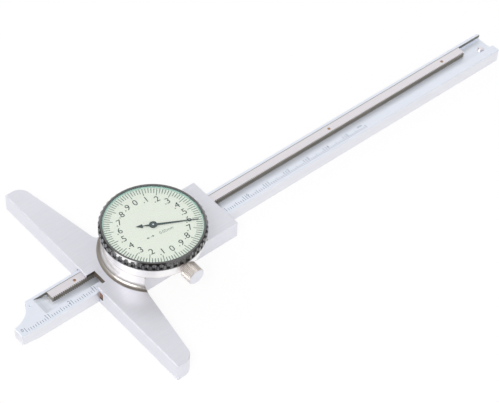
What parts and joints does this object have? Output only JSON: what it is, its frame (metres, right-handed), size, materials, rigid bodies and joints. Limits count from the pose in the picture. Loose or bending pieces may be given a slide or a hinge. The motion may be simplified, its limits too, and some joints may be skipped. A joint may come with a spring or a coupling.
{
  "type": "dial depth gauge",
  "caption": "Dial depth gauge: a T-shaped measuring base on a slotted beam with a rack, which drives a geared pointer under a round turning bezel.",
  "frame": {"origin": "middle of the back cover's face across the beam, level with the dial's axis", "axes": "+X along the beam towards its far end, +Y across it towards the rack's wall, +Z out of the dial"},
  "size_m": [0.2347, 0.1, 0.0215],
  "materials": {
    "ground_steel": "ground along the beam, satin",
    "beam_steel": "satin chrome land and ground sides",
    "rack_steel": "ground",
    "screw_steel": "turned",
    "arbor_steel": "polished",
    "spring_steel": "blued",
    "bright_chrome": "polished",
    "knurled_steel": "fine axial knurl, turned end",
    "black_bezel": "semi-gloss black",
    "dial_paint": "matt pale green with printed divisions",
    "seal_plastic": "pale green",
    "crystal": "clear flat window",
    "pointer_paint": "semi-matt dark green",
    "brass": "fine brushed",
    "bronze": "machined"
  },
  "bodies": {
    "gauge_body": {"base_body": "ground_steel", "back_cover": "ground_steel", "cover_screws": "screw_steel", "gib_strip": "bronze", "gib_spring": "spring_steel", "dial_case": "bright_chrome", "case_screws": "screw_steel", "lower_bushes": "bronze", "upper_bushes": "bronze", "train_bridge": "brass", "bridge_pillars": "brass", "bridge_screws": "screw_steel"},
    "beam_unit": {"beam": "beam_steel", "rack": "rack_steel", "rack_pins": "screw_steel", "stop_pin": "screw_steel"},
    "rack_arbor_unit": {"rack_arbor": "arbor_steel", "drive_wheel": "brass", "backlash_wheel": "brass", "wheel_collet": "brass", "hairpin_spring": "spring_steel"},
    "pointer_unit": {"centre_arbor": "arbor_steel", "pointer": "pointer_paint", "pointer_hub": "pointer_paint"},
    "bezel_unit": {"bezel": "black_bezel", "dial_plate": "dial_paint", "glass_seal": "seal_plastic", "crystal": "crystal"},
    "clamp_unit": {"clamp_screw": "knurled_steel"}
  },
  "joints": [
    {"name": "beam_slide", "type": "slide", "parent": "gauge_body", "child": "beam_unit", "axis": [-1, 0, 0], "range_m": [-0.0331, 0.1169]},
    {"name": "rack_arbor_turn", "type": "hinge", "parent": "gauge_body", "child": "rack_arbor_unit", "pos_m": [0.00649, 0.00026, 0.008], "axis": [0, 0, 1], "continuous": true},
    {"name": "pointer_turn", "type": "hinge", "parent": "gauge_body", "child": "pointer_unit", "pos_m": [0, -0.0035, 0.015], "axis": [0, 0, 1], "continuous": true},
    {"name": "bezel_turn", "type": "hinge", "parent": "gauge_body", "child": "bezel_unit", "pos_m": [0, -0.0035, 0.018], "axis": [0, 0, 1], "continuous": true},
    {"name": "clamp_turn", "type": "hinge", "parent": "gauge_body", "child": "clamp_unit", "pos_m": [0, -0.025, 0.0149], "axis": [0, -1, 0], "range_deg": [-80, 360]}
  ],
  "couplings": [
    {"joint": "rack_arbor_turn", "follows": "beam_slide", "rad_per_m": 785.4},
    {"joint": "pointer_turn", "follows": "beam_slide", "rad_per_m": -3141.6}
  ]
}
